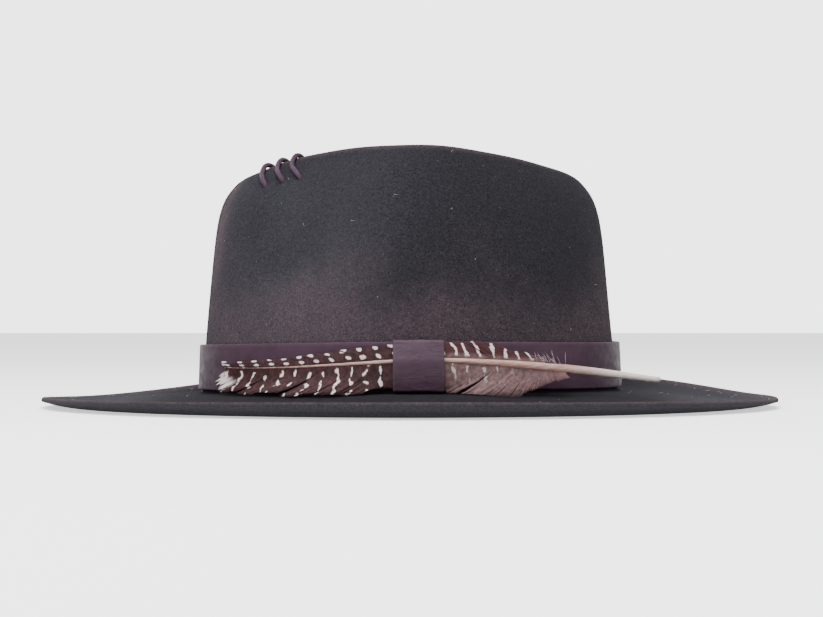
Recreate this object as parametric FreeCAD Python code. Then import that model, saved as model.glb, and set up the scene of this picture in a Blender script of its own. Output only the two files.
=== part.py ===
import FreeCAD, Part
import math
import os

# Fedora hat, millimetres.  +Z up, the front of the hat faces -Y, the
# wearer's left is +X.  z = 0 is the lowest line of the brim's underside.
# Angles run round the hat: 0 left side, 90 back, 180 right side, 270 front.

V = FreeCAD.Vector

# ---- driving dimensions -------------------------------------------------
COLUMNS = 48              # control points round every ring of the felt

# crown, outside of the felt at the hatband
CROWN_LEN = 206.0
CROWN_WID = 173.4
FELT = 2.2                # thickness of the felt
CREST_TOP = 126.9         # highest line of the crown's crest
CREST_REAR = 0.812        # crest length behind the middle / half crown length
CREST_FRONT = 0.812       # crest length ahead of the middle / half crown length
CREST_SIDE = 0.64         # crest half width / half crown width
CREST_NOSE = 0.28         # the same at the pinched front
REAR_DROP = 14.6          # how far the crest falls to the rear
FRONT_DROP = 14.5         # and to the front
DENT_DEPTH = 27.0         # teardrop dent below the crest
DENT_BEHIND = 0.06        # deepest place behind the middle / half crown length
PINCH_DEPTH = 9.0         # hollow of each front side
PINCH_AHEAD = 0.45        # middle of the pinch / half crown length
PINCH_UP = 0.77           # middle of the pinch / crest height
PINCH_LONG = 40.0         # half length of the hollow
PINCH_SHORT = 24.0        # half width of the hollow
PINCH_LEAN = 62.0         # long axis above level, leaning back

# brim
BRIM_LEN = 365.0
BRIM_WID = 324.0
BREAK_FRONT = 6.4         # top of the brim where it meets the crown
BREAK_SIDE = 8.8
BREAK_BACK = 8.0
BREAK_ROUND = 2.2         # size of the small round between brim and crown
CURL_FROM = 0.78          # share of the brim's width where its edge starts to curl up
CURL_FRONT = 3.0          # rise of the curled edge
CURL_SIDE = 5.3
CURL_BACK = 2.6
CURL_DIP = 2.6            # less curl at the right front
DIP_AT = 246.0
DIP_SHARP = 14               # how closely the dip keeps to its place
EDGE_SET = 0.8            # edge's upper corner stands in from the lower one
SWEEP_UP = 9.0            # the right side of the brim is swept up
SWEEP_AT = 168.0
SWEEP_FROM = 0.44            # cosines from its middle where the sweep starts
SWEEP_SPAN = 0.72            # and over which it reaches its full rise
BRIM_FLAT = 0.74             # share of the brim's width over which it falls to the table

# hatband
STRAP_HIGH = 22.0         # seven eighths of an inch strap
STRAP_THICK = 1.6
STRAP_GAP_END = 1.0       # room between felt and strap, front and back
STRAP_GAP_SIDE = 1.6      # the same at the sides, where the keeper passes
STRAP_LIFT = 2.0          # strap's lower edge above the brim
STRAP_TAPER = 0.9         # strap leans in with the crown, at its upper edge
STRAP_SPLIT = 0.4         # butt joint of the strap's ends, under the keeper

KEEPER_WIDE = 23.0
KEEPER_THICK = 0.9
KEEPER_AT = 3.9           # behind the middle of the hat
KEEPER_ROOM = 4.0         # depth kept for the feather in front of the strap
KEEPER_PLAY = 0.15        # clearance round the strap
KEEPER_DOME = 0.8         # how far its face is pushed out by the feather

# feather
TIP_AHEAD = 88.0          # feather tip ahead of the middle
QUILL_BEHIND = 118.0      # end of the quill behind the middle
SHAFT_MID_Z = 13.6        # shaft above the strap's lower edge, at the keeper
SHAFT_R_TIP = 0.3
SHAFT_R_KEEPER = 0.95
SHAFT_R_QUILL = 2.1       # the thickest place of the quill
SHAFT_R_END = 1.4
VANE_THICK = 0.35
VANE_REAR = 74.0          # rear end of the vanes behind the middle
LEADING_WIDE = 8.2        # widest of the upper, narrow vane
TRAILING_WIDE = 15.0      # widest of the lower, broad vane
VANE_SPLAY = 11.0         # the lower vane's edge lies out over the brim
VANE_HELD = 12.0          # the lower vane folded inside the loop
VANE_CLEAR = 0.5          # least room between the lower vane's edge and the brim
FREE_AT = 25.0            # behind this the quill leaves the band's curve
FREE_R = 500.0            # bend of the free quill

# whip lace on the left front of the crest
LACE_R = 1.2
LACE_PLAY = 0.35          # room in the punched holes
LACE_STAND = 1.75         # its middle above the felt
LACE_KNOT = 2.0           # knots at its two ends, inside
LACE_AHEAD = (68.5, 61.5, 54.5)   # where the three stitches cross the crest
LACE_SLANT = 4.0          # inner holes lie further back
LACE_TURN = 0.08          # outer holes lie further back, radians round the hat
LACE_DROP = 0.905         # outer holes, share of the wall's height
LACE_IN = 0.17            # inner holes, share of the way into the dent

# sweatband
SWEAT_HIGH = 35.0
SWEAT_THICK = 0.8
SWEAT_GAP = 0.3
SWEAT_LIFT = 4.4          # lower edge above the brim's top at the break
REED_R = 1.0
STITCH_R = 0.3
STITCH_LONG = 3.2
STITCHES = 96
BOW_UP = 12.0             # middle of the bow above the sweatband's edge
BOW_LONG = 13.0
BOW_HIGH = 6.0
BOW_DEEP = 3.0
BOW_GAP = 0.41            # room between the bow's loops and the bent sweatband
BOW_THICK = 0.4
BOW_WIDEST = 0.65         # widest place of a loop / its length
KNOT_WIDE = 4.0

# ---- derived ------------------------------------------------------------
HALF_LEN = CROWN_LEN / 2
HALF_WID = CROWN_WID / 2
ROUND_UP = 3 / (2 + math.cos(2 * math.pi / COLUMNS))   # ring to its spline
STRAP_LEN = HALF_LEN + STRAP_GAP_END
STRAP_WID = HALF_WID + STRAP_GAP_SIDE
STRAP_X = STRAP_WID + STRAP_THICK            # strap's outer face at the keeper
BEND_R = (STRAP_LEN + STRAP_THICK) ** 2 / STRAP_X     # bend of its left side
BEND_X = STRAP_X - BEND_R                    # upright axis of that bend
SHAFT_X = STRAP_X + KEEPER_ROOM / 2 + 0.2


def mix(a, b, t):
    return a + (b - a) * t


def ease(t):
    t = min(1.0, max(0.0, t))
    return t * t * (3 - 2 * t)


def around(front, side, back, a):
    """A height that changes round the hat, from its front, side and back."""
    end = back if math.sin(a) > 0 else front
    return side * math.cos(a) ** 2 + end * math.sin(a) ** 2


def break_z(a):
    return around(BREAK_FRONT, BREAK_SIDE, BREAK_BACK, a)


# ---- felt ---------------------------------------------------------------
def curl(a):
    """How far the brim's edge turns up."""
    dip = max(0.0, math.cos(a - math.radians(DIP_AT))) ** DIP_SHARP
    return around(CURL_FRONT, CURL_SIDE, CURL_BACK, a) - CURL_DIP * dip


def sweep(a):
    """How far the whole side of the brim is swept up."""
    return SWEEP_UP * ease((math.cos(a - math.radians(SWEEP_AT)) - SWEEP_FROM) / SWEEP_SPAN)


def brim_point(a, t):
    """t = 0 at the crown, 1 at the brim's edge."""
    x = mix(HALF_WID, BRIM_WID / 2 - EDGE_SET, t)
    y = mix(HALF_LEN, BRIM_LEN / 2 - EDGE_SET, t)
    outer = max(0.0, t - CURL_FROM) / (1 - CURL_FROM)
    z = mix(break_z(a), FELT, ease(t / BRIM_FLAT)) + sweep(a) * ease(t) + curl(a) * outer ** 2
    return V(x * math.cos(a), y * math.sin(a), z)


def brim_under(p):
    """Height of the brim's upper face below a place close to the crown."""
    a = math.atan2(p.y / HALF_LEN, p.x / HALF_WID)
    reach = math.hypot(p.x / HALF_WID, p.y / HALF_LEN) - 1.0
    t = max(0.0, reach) * HALF_WID / (BRIM_WID / 2 - EDGE_SET - HALF_WID)
    return brim_point(a, t).z


def crest_point(a):
    """The highest line of the crown, round the teardrop."""
    s = math.sin(a)
    if s < 0:
        y = HALF_LEN * CREST_FRONT * s
        drop = FRONT_DROP * abs(s) ** 2.6
        wide = mix(CREST_SIDE, CREST_NOSE, ease(-s / 0.95))
    else:
        y = HALF_LEN * CREST_REAR * s
        drop = REAR_DROP * s ** 1.85
        wide = CREST_SIDE
    return V(HALF_WID * wide * math.cos(a), y, CREST_TOP - drop)


def pinch(y, z):
    """Depth of the front side hollow at this place on the wall."""
    ahead = y + PINCH_AHEAD * HALF_LEN
    up = z - PINCH_UP * CREST_TOP
    lean = math.radians(PINCH_LEAN)
    along = (ahead * math.cos(lean) + up * math.sin(lean)) / PINCH_LONG
    across = (up * math.cos(lean) - ahead * math.sin(lean)) / PINCH_SHORT
    return PINCH_DEPTH * math.exp(-along ** 2 - across ** 2)


def wall_point(a, q):
    """q = 0 at the brim, 1 at the crest."""
    c = math.cos(a)
    s = math.sin(a)
    top = crest_point(a)
    side = 0.22 * q + 0.78 * q ** 5
    if s > 0:
        end = 0.50 * q + 0.50 * q ** 14
    else:
        end = 0.45 * q ** 1.2 + 0.55 * q ** 14
    g = side * c * c + end * s * s
    x = mix(HALF_WID * c, top.x, g)
    y = mix(HALF_LEN * s, top.y, g)
    z = mix(break_z(a) + BREAK_ROUND, top.z, q)
    push = pinch(y, z) * min(1.0, abs(x) / 25.0)
    x -= math.copysign(min(push, abs(x) * 0.6), x)
    return V(x, y, z)


def dent_point(a, g):
    """g = 0 at the crest, 1 in the middle of the dent."""
    top = crest_point(a)
    floor = CREST_TOP - DENT_DEPTH
    z = mix(top.z, floor, ease(g / 0.8))
    return V(mix(top.x, 0, g), mix(top.y, DENT_BEHIND * HALF_LEN, g), z)


def ring(point, *args):
    row = []
    for i in range(COLUMNS):
        p = point(2 * math.pi * i / COLUMNS, *args)
        row.append(V(p.x * ROUND_UP, p.y * ROUND_UP, p.z))
    return row


def corner_point(a):
    return V((HALF_WID + 0.5) * math.cos(a), (HALF_LEN + 0.5) * math.sin(a), break_z(a) + 0.05)


def crest_cap(a):
    p = crest_point(a)
    return V(p.x, p.y, p.z + 0.8)


def felt_rings():
    """Control rings of the felt's upper face, from the edge to the dent."""
    rows = []
    for t in (1.0, 0.965, 0.93, 0.89, 0.85, 0.81, 0.77, 0.73, 0.62, 0.49, 0.36, 0.24, 0.13, 0.05):
        rows.append(ring(brim_point, t))
    rows.append(ring(corner_point))
    for q in (0.0, 0.05, 0.13, 0.22, 0.34, 0.46, 0.58, 0.69, 0.79, 0.87, 0.93, 0.975):
        rows.append(ring(wall_point, q))
    rows.append(ring(crest_cap))
    for g in (0.10, 0.24, 0.42, 0.62, 0.80, 0.92):
        rows.append(ring(dent_point, g))
    return rows


def inward(rows, depth):
    """The same rings moved into the felt by a depth."""
    moved = []
    last = len(rows) - 1
    for i, row in enumerate(rows):
        ahead = rows[min(last, i + 1)]
        behind = rows[max(0, i - 1)]
        new = []
        for j, p in enumerate(row):
            round_way = row[(j + 1) % COLUMNS] - row[j - 1]
            normal = round_way.cross(ahead[j] - behind[j])
            if i >= last - 1:
                normal = V(0, 0, 1)
            normal.normalize()
            new.append(p - normal * depth)
        moved.append(new)
    return moved


def sleeve(rows):
    """Smooth closed surface led by control rings."""
    n = len(rows)
    m = len(rows[0])
    surface = Part.BSplineSurface()
    u_mults = [4] + [1] * (n - 4) + [4]
    v_mults = [1] * (m + 1)
    surface.buildFromPolesMultsKnots(
        rows, u_mults, v_mults, list(range(n - 2)), list(range(m + 1)), False, True, 3, 3)
    return surface


def solid_of(faces):
    shell = Part.makeShell(faces)
    shell.sewShape()
    solid = Part.makeSolid(shell)
    if solid.Volume < 0:
        solid.reverse()
    return solid


def felt_surfaces():
    rows = felt_rings()
    return sleeve(rows), sleeve(inward(rows, FELT)), len(rows) - 3


def felt_body(top, under, last, tools):
    rim = Part.makeRuledSurface(top.uIso(0).toShape(), under.uIso(0).toShape())
    faces = [top.toShape(), under.toShape(), rim]
    for surface in (top, under):
        faces.append(Part.Face(Part.Wire(surface.uIso(last).toShape())))
    return solid_of(faces).cut(tools)


# ---- ring-shaped straps -------------------------------------------------
def oval(point):
    """Closed smooth curve through points taken round the hat."""
    points = []
    for i in range(COLUMNS):
        points.append(point(2 * math.pi * i / COLUMNS))
    curve = Part.BSplineCurve()
    curve.interpolate(points, PeriodicFlag=True)
    return curve.toShape()


def band_of(low_out, high_out, high_in, low_in):
    """Ring with a four-cornered section, from its four closed edges."""
    edges = [low_out, high_out, high_in, low_in]
    faces = []
    for i, edge in enumerate(edges):
        faces.append(Part.makeRuledSurface(edge, edges[(i + 1) % 4]))
    return solid_of(faces)


def strap_edge(out, up, lean):
    def point(a):
        x = (STRAP_WID + out - lean) * math.cos(a)
        y = (STRAP_LEN + out - lean) * math.sin(a)
        return V(x, y, break_z(a) + STRAP_LIFT + up)
    return oval(point)


def hatband_strap():
    band = band_of(
        strap_edge(STRAP_THICK, 0, 0),
        strap_edge(STRAP_THICK, STRAP_HIGH, STRAP_TAPER),
        strap_edge(0, STRAP_HIGH, STRAP_TAPER),
        strap_edge(0, 0, 0))
    slit = Part.makeBox(20, STRAP_SPLIT, 2 * STRAP_HIGH)
    slit.translate(V(STRAP_X - 10, KEEPER_AT - STRAP_SPLIT / 2, BREAK_SIDE))
    return band.cut(slit)


def hatband_keeper():
    """Leather loop round the strap and the feather, bent with the strap."""
    back = STRAP_WID - KEEPER_PLAY
    face = STRAP_X + KEEPER_ROOM - KEEPER_DOME
    low = BREAK_SIDE + STRAP_LIFT - KEEPER_PLAY
    high = low + STRAP_HIGH + 2 * KEEPER_PLAY
    corners = [
        V(face - STRAP_TAPER, 0, high),
        V(back - STRAP_TAPER, 0, high),
        V(back, 0, low),
        V(face, 0, low)]
    bulge = V(face - STRAP_TAPER / 2 + KEEPER_DOME, 0, (low + high) / 2)
    edges = [Part.makeLine(corners[i], corners[i + 1]) for i in range(3)]
    edges.append(Part.Arc(corners[3], bulge, corners[0]).toShape())
    inner = Part.Wire(edges)
    outer = inner.makeOffset2D(KEEPER_THICK)
    turn = math.degrees(KEEPER_WIDE / BEND_R)
    loop = Part.Face([outer, inner]).revolve(V(BEND_X, 0, 0), V(0, 0, 1), turn)
    loop.rotate(V(BEND_X, 0, 0), V(0, 0, 1), math.degrees(KEEPER_AT / BEND_R) - turn / 2)
    return loop


# ---- feather ------------------------------------------------------------
def feather_xy(y, r=0.0):
    """Plan of the feather: bent round the band ahead, nearly straight behind."""
    radius = SHAFT_X - BEND_X
    held = min(y, FREE_AT)
    x = BEND_X + math.sqrt(radius ** 2 - held ** 2)
    slope = held / (x - BEND_X)
    if y > FREE_AT:
        free = y - FREE_AT
        x -= slope * free + free ** 2 / (2 * FREE_R)
        slope += free / FREE_R
    way = V(1, slope, 0)
    way.normalize()
    return V(x, y, 0) + way * r


def shaft_z(y):
    """Height of the shaft: a long low bow, falling to the quill's end."""
    mid = BREAK_SIDE + STRAP_LIFT + SHAFT_MID_Z
    if y < 12:
        return mid - 4.2 * ease((12 - y) / (TIP_AHEAD + 6)) ** 0.9
    return mid - 9.9 * ((y - 12) / (QUILL_BEHIND - 12)) ** 1.5


def shaft_r(y):
    if y < 0:
        return mix(SHAFT_R_KEEPER, SHAFT_R_TIP, ease(-y / TIP_AHEAD))
    thick = 0.66 * QUILL_BEHIND
    if y < thick:
        return mix(SHAFT_R_KEEPER, SHAFT_R_QUILL, ease(y / thick))
    return mix(SHAFT_R_QUILL, SHAFT_R_END, (y - thick) / (QUILL_BEHIND - thick))


def feather_shaft():
    rings = []
    steps = 22
    for i in range(steps + 1):
        y = mix(-TIP_AHEAD, QUILL_BEHIND, i / steps)
        here = feather_xy(y) + V(0, 0, shaft_z(y))
        there = feather_xy(y + 0.5) + V(0, 0, shaft_z(y + 0.5))
        circle = Part.Circle(here, there - here, shaft_r(y))
        rings.append(Part.Wire(circle.toShape()))
    return Part.makeLoft(rings, True)


def loose(y):
    """0 inside the leather loop, 1 well clear of it."""
    return ease((abs(y - KEEPER_AT) - KEEPER_WIDE / 2) / 30.0)


def leading_wide(y):
    """Width of the upper vane along the feather."""
    t = (y + TIP_AHEAD) / (VANE_REAR + TIP_AHEAD)
    full = mix(0.35, 1.0, ease(t / 0.62))
    return LEADING_WIDE * full * mix(0.2, 1.0, ease((1.0 - t) / 0.2))


def trailing_wide(y):
    """Width of the lower vane along the feather."""
    t = (y + TIP_AHEAD) / (VANE_REAR + TIP_AHEAD)
    full = mix(0.74, 1.0, ease(t / 0.6)) * mix(0.25, 1.0, ease((1.0 - t) / 0.16))
    return mix(VANE_HELD, TRAILING_WIDE * full, ease(4 * loose(y)))


def vane(side, wide, splay, shaft):
    """Thin sheet from the shaft to the vane's edge; side is +1 up, -1 down."""
    grid = []
    for i in range(23):
        y = mix(-TIP_AHEAD - 2.0, VANE_REAR, i / 22)
        far = feather_xy(y, splay * loose(y)) + V(0, 0, shaft_z(y) + side * wide(y))
        rise = max(0.0, brim_under(far) + VANE_CLEAR - far.z)
        row = []
        for k in range(7):
            f = k / 6
            up = side * wide(y) * f
            lean = STRAP_TAPER * up / STRAP_HIGH
            held = loose(y) * mix(0.35, 1.0, ease((y + TIP_AHEAD) / 40.0))
            out = splay * held * f ** 3 - lean - VANE_THICK / 2
            row.append(feather_xy(y, out) + V(0, 0, shaft_z(y) + up + rise * f ** 2))
        grid.append(row)
    surface = Part.BSplineSurface()
    surface.interpolate(grid)
    sheet = surface.toShape().extrude(V(VANE_THICK, 0, 0))
    return sheet.cut(shaft)


# ---- lace ---------------------------------------------------------------
def felt_at(felt, p):
    """Nearest point of the felt's upper face and the way out of it."""
    u, v = felt.parameter(p)
    return felt.value(u, v), felt.normal(u, v) * -1


def lace_holes(felt):
    """Punched holes of the whip stitches: place and direction, in pairs."""
    pairs = []
    half = HALF_LEN * CREST_FRONT
    for ahead in LACE_AHEAD:
        a = -math.asin(ahead / half)
        far = (ahead - LACE_SLANT + DENT_BEHIND * HALF_LEN * LACE_IN) / (1 - LACE_IN)
        b = -math.asin(min(0.97, far / half))
        outer = felt_at(felt, wall_point(a + LACE_TURN, LACE_DROP))
        inner = felt_at(felt, dent_point(b, LACE_IN))
        over = []
        for p in (wall_point(a, 0.965), crest_cap(mix(a, b, 0.1))):
            place, out = felt_at(felt, p)
            over.append(place + out * LACE_STAND)
        pairs.append((outer, over, inner))
    return pairs


def lace_path(holes):
    """Three whip stitches over the crest with the crossings inside."""
    points = []
    deep = FELT + 2.2 * LACE_R
    rise = 0.6 * LACE_R
    for (hole, out), over, (dent, dent_out) in holes:
        points.append(hole - out * deep)
        points.append(hole + out * rise)
        points.extend(over)
        points.append(dent + dent_out * rise)
        points.append(dent - dent_out * deep)
    return points


def punches(holes):
    """Cylinders that make the holes in the felt."""
    tools = []
    for (hole, out), over, (dent, dent_out) in holes:
        for p, way in ((hole, out), (dent, dent_out)):
            start = p - way * (FELT + 2.0)
            tools.append(Part.makeCylinder(LACE_R + LACE_PLAY, FELT + 4.0, start, way))
    return tools


def ridge_lace(points):
    """Leather lace, knotted inside the crown at both ends."""
    curve = Part.BSplineCurve()
    curve.interpolate(points)
    path = Part.Wire(curve.toShape())
    section = Part.Wire(Part.Circle(points[0], curve.tangent(0)[0], LACE_R).toShape())
    lace = path.makePipeShell([section], True, False)
    for end in (points[0], points[-1]):
        lace = lace.fuse(Part.makeSphere(LACE_KNOT, end))
    return lace


# ---- sweatband ----------------------------------------------------------
def sweat_edge(depth, up):
    """Closed line inside the crown, a depth in from the felt's inner face."""
    def point(a):
        low = break_z(a) + BREAK_ROUND
        z = break_z(a) + SWEAT_LIFT + up
        p = wall_point(a, (z - low) / (crest_point(a).z - low))
        d = FELT + SWEAT_GAP + depth
        return V(p.x - d * math.cos(a), p.y - d * math.sin(a), z)
    return point


def sweatband():
    return band_of(
        oval(sweat_edge(0, 0)),
        oval(sweat_edge(0, SWEAT_HIGH)),
        oval(sweat_edge(SWEAT_THICK, SWEAT_HIGH)),
        oval(sweat_edge(SWEAT_THICK, 0)))


def sweatband_reed():
    """Taped reed under the sweatband's lower edge."""
    point = sweat_edge(SWEAT_THICK / 2 + 0.5, -REED_R)
    rings = []
    for i in range(COLUMNS):
        a = 2 * math.pi * i / COLUMNS
        way = point(a + 0.005) - point(a - 0.005)
        rings.append(Part.Wire(Part.Circle(point(a), way, REED_R).toShape()))
    return Part.makeLoft(rings, True, False, True)


def sweatband_stitching():
    """Row of short stitches just above the reed, on the leather's face."""
    point = sweat_edge(SWEAT_THICK + STITCH_R, 2.4)
    stitches = []
    for i in range(STITCHES):
        a = 2 * math.pi * (i + 0.5) / STITCHES
        here = point(a)
        way = point(a + 0.005) - point(a - 0.005)
        way.normalize()
        stitch = Part.makeCylinder(STITCH_R, STITCH_LONG, here - way * STITCH_LONG / 2, way)
        stitches.append(stitch)
    return Part.makeCompound(stitches)


def bow_middle():
    """The bow stands in from the sweatband by its own depth and the band's bend."""
    point = sweat_edge(SWEAT_THICK, BOW_UP)
    bend = (BOW_WIDEST * BOW_LONG) ** 2 / (2 * HALF_WID ** 2 / HALF_LEN)
    return point(math.pi / 2) - V(0, BOW_DEEP / 2 + BOW_GAP + bend, 0)


def bow_outline(side, inset):
    """Filled shape of a bow loop seen from above, drawn in by an inset."""
    start = side * (KNOT_WIDE / 2 - inset)
    half = BOW_DEEP / 2 - inset
    outline = [
        V(start, BOW_DEEP / 3 - inset, 0),
        V(side * BOW_LONG * BOW_WIDEST, half, 0),
        V(side * (BOW_LONG - inset), 0, 0),
        V(side * BOW_LONG * BOW_WIDEST, -half, 0),
        V(start, inset - BOW_DEEP / 3, 0)]
    curve = Part.BSplineCurve()
    curve.interpolate(outline)
    close = Part.makeLine(outline[-1], outline[0])
    face = Part.Face(Part.Wire([curve.toShape(), close]))
    block = face.extrude(V(0, 0, BOW_HIGH))
    block.translate(bow_middle() - V(0, 0, BOW_HIGH / 2))
    return block


def bow_loop(side):
    """One flat loop of the small ribbon bow at the back."""
    return bow_outline(side, 0).cut(bow_outline(side, BOW_THICK))


def bow_knot():
    box = Part.makeBox(KNOT_WIDE, BOW_DEEP, BOW_HIGH + 1.0)
    box = box.makeFillet(0.8, box.Edges)
    box.translate(bow_middle() - V(KNOT_WIDE / 2, BOW_DEEP / 2, BOW_HIGH / 2 + 0.5))
    return box


def save(shape, name):
    shape.exportStep("parts/" + name + ".step")


def main():
    os.makedirs("parts", exist_ok=True)
    top, under, last = felt_surfaces()
    holes = lace_holes(top)
    save(felt_body(top, under, last, punches(holes)), "felt_body")
    save(ridge_lace(lace_path(holes)), "ridge_lace")
    save(hatband_strap(), "hatband_strap")
    save(hatband_keeper(), "hatband_keeper")
    shaft = feather_shaft()
    save(shaft, "feather_shaft")
    save(vane(1, leading_wide, 0.4, shaft), "feather_leading_vane")
    save(vane(-1, trailing_wide, VANE_SPLAY, shaft), "feather_trailing_vane")
    save(sweatband(), "sweatband")
    save(sweatband_reed(), "sweatband_reed")
    save(sweatband_stitching(), "sweatband_stitching")
    save(bow_loop(1), "bow_loop_left")
    save(bow_loop(-1), "bow_loop_right")
    save(bow_knot(), "bow_knot")


main()
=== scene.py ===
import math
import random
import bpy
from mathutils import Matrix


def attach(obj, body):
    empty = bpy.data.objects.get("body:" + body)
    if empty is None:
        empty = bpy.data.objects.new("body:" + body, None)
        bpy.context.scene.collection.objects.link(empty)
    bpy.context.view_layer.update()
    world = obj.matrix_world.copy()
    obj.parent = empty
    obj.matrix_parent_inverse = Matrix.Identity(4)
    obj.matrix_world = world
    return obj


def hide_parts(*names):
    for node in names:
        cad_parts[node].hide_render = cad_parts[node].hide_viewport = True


bl_info = {
    "name": "Fedora Hat Maker",
    "version": (1, 0, 0),
    "blender": (4, 5, 0),
    "location": "View3D > Sidebar > Hat",
    "description": "Felt fedora with a leather band, a spotted feather and a laced crest",
    "category": "Add Mesh",
}

import bmesh
import bpy
import numpy as np
from mathutils import Quaternion, Vector

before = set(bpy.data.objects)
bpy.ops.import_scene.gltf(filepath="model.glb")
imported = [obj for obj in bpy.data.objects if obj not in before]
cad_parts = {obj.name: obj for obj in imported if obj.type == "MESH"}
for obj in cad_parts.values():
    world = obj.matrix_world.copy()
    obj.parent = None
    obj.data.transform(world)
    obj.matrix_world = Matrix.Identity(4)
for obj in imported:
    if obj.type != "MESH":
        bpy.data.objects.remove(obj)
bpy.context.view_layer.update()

MM = 0.001

# ---- the hat's shape, in millimetres: the same rule the solid felt follows ----
COLUMNS = 48
HALF_LEN, HALF_WID = 103.0, 86.7
FELT = 2.2
CREST_TOP, CREST_REAR, CREST_FRONT = 126.9, 0.812, 0.812
CREST_SIDE, CREST_NOSE = 0.64, 0.28
REAR_DROP, FRONT_DROP, DENT_DEPTH, DENT_BEHIND = 14.6, 14.5, 27.0, 0.06
PINCH_DEPTH, PINCH_AHEAD, PINCH_UP = 9.0, 0.45, 0.77
PINCH_LONG, PINCH_SHORT, PINCH_LEAN = 40.0, 24.0, 62.0
HALF_BRIM_LEN, HALF_BRIM_WID = 182.5, 162.0
BREAK_FRONT, BREAK_SIDE, BREAK_BACK, BREAK_ROUND = 6.4, 8.8, 8.0, 2.2
CURL_FROM, CURL_FRONT, CURL_SIDE, CURL_BACK = 0.78, 3.0, 5.3, 2.6
CURL_DIP, DIP_AT, DIP_SHARP, EDGE_SET = 2.6, 246.0, 14, 0.8
SWEEP_UP, SWEEP_AT, SWEEP_FROM, SWEEP_SPAN = 9.0, 168.0, 0.44, 0.72
BRIM_FLAT = 0.74

STRAP_HIGH, STRAP_THICK, STRAP_LIFT, STRAP_TAPER = 22.0, 1.6, 2.0, 0.9
STRAP_LEN, STRAP_WID = HALF_LEN + 1.0, HALF_WID + 1.6
STRAP_X = STRAP_WID + STRAP_THICK
BEND_R = (STRAP_LEN + STRAP_THICK) ** 2 / STRAP_X
BEND_X = STRAP_X - BEND_R
KEEPER_WIDE, KEEPER_THICK, KEEPER_AT = 23.0, 0.9, 3.9
KEEPER_ROOM, KEEPER_PLAY, KEEPER_DOME = 4.0, 0.15, 0.8

TIP_AHEAD, QUILL_BEHIND, VANE_REAR = 88.0, 118.0, 74.0
SHAFT_X = STRAP_X + KEEPER_ROOM / 2 + 0.2
SHAFT_MID_Z = 13.6
FREE_AT, FREE_R = 25.0, 500.0
SHAFT_R_TIP, SHAFT_R_KEEPER, SHAFT_R_QUILL, SHAFT_R_END = 0.3, 0.95, 2.1, 1.4
LEADING_WIDE, TRAILING_WIDE, VANE_HELD, VANE_SPLAY = 8.2, 15.0, 12.0, 11.0
BARB_CLEAR = 0.6

LACE_AHEAD, LACE_SLANT, LACE_TURN, LACE_DROP, LACE_IN = (68.5, 61.5, 54.5), 4.0, 0.08, 0.905, 0.17

SWEAT_HIGH, SWEAT_THICK, SWEAT_GAP, SWEAT_LIFT = 35.0, 0.8, 0.3, 4.4
SHOWN_STITCHES = 192


def mix(a, b, t):
    return a + (b - a) * t


def ease(t):
    t = np.clip(t, 0.0, 1.0)
    return t * t * (3 - 2 * t)


def around(front, side, back, a):
    end = np.where(np.sin(a) > 0, back, front)
    return side * np.cos(a) ** 2 + end * np.sin(a) ** 2


def break_z(a):
    return around(BREAK_FRONT, BREAK_SIDE, BREAK_BACK, a)


def stack(x, y, z):
    return np.stack(np.broadcast_arrays(x, y, z), -1)


def brim_point(a, t):
    x = mix(HALF_WID, HALF_BRIM_WID - EDGE_SET, t)
    y = mix(HALF_LEN, HALF_BRIM_LEN - EDGE_SET, t)
    dip = np.maximum(0.0, np.cos(a - math.radians(DIP_AT))) ** DIP_SHARP
    curl = around(CURL_FRONT, CURL_SIDE, CURL_BACK, a) - CURL_DIP * dip
    sweep = SWEEP_UP * ease((np.cos(a - math.radians(SWEEP_AT)) - SWEEP_FROM) / SWEEP_SPAN)
    z = mix(break_z(a), FELT, ease(t / BRIM_FLAT)) + sweep * ease(t)
    z = z + curl * (np.maximum(0.0, t - CURL_FROM) / (1 - CURL_FROM)) ** 2
    return stack(x * np.cos(a), y * np.sin(a), z)


def crest_point(a, cap=0.0):
    s = np.sin(a)
    ahead = np.maximum(-s, 0)
    behind = np.maximum(s, 0)
    y = HALF_LEN * (CREST_REAR * behind - CREST_FRONT * ahead)
    drop = FRONT_DROP * ahead ** 2.6 + REAR_DROP * behind ** 1.85
    wide = mix(CREST_SIDE, CREST_NOSE, ease(ahead / 0.95))
    return stack(HALF_WID * wide * np.cos(a), y, CREST_TOP - drop + cap)


def wall_point(a, q):
    c, s = np.cos(a), np.sin(a)
    top = crest_point(a)
    side = 0.22 * q + 0.78 * q ** 5
    rear = 0.50 * q + 0.50 * q ** 14
    front = 0.45 * q ** 1.2 + 0.55 * q ** 14
    g = side * c * c + np.where(s > 0, rear, front) * s * s
    x = mix(HALF_WID * c, top[..., 0], g)
    y = mix(HALF_LEN * s, top[..., 1], g)
    z = mix(break_z(a) + BREAK_ROUND, top[..., 2], q)
    lean = math.radians(PINCH_LEAN)
    ahead, up = y + PINCH_AHEAD * HALF_LEN, z - PINCH_UP * CREST_TOP
    along = (ahead * math.cos(lean) + up * math.sin(lean)) / PINCH_LONG
    across = (up * math.cos(lean) - ahead * math.sin(lean)) / PINCH_SHORT
    push = PINCH_DEPTH * np.exp(-along ** 2 - across ** 2) * np.minimum(1.0, abs(x) / 25.0)
    x = x - np.copysign(np.minimum(push, abs(x) * 0.6), x)
    return stack(x, y, z)


def dent_point(a, g):
    top = crest_point(a)
    z = mix(top[..., 2], CREST_TOP - DENT_DEPTH, ease(g / 0.8))
    return stack(mix(top[..., 0], 0, g), mix(top[..., 1], DENT_BEHIND * HALF_LEN, g), z)


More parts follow.
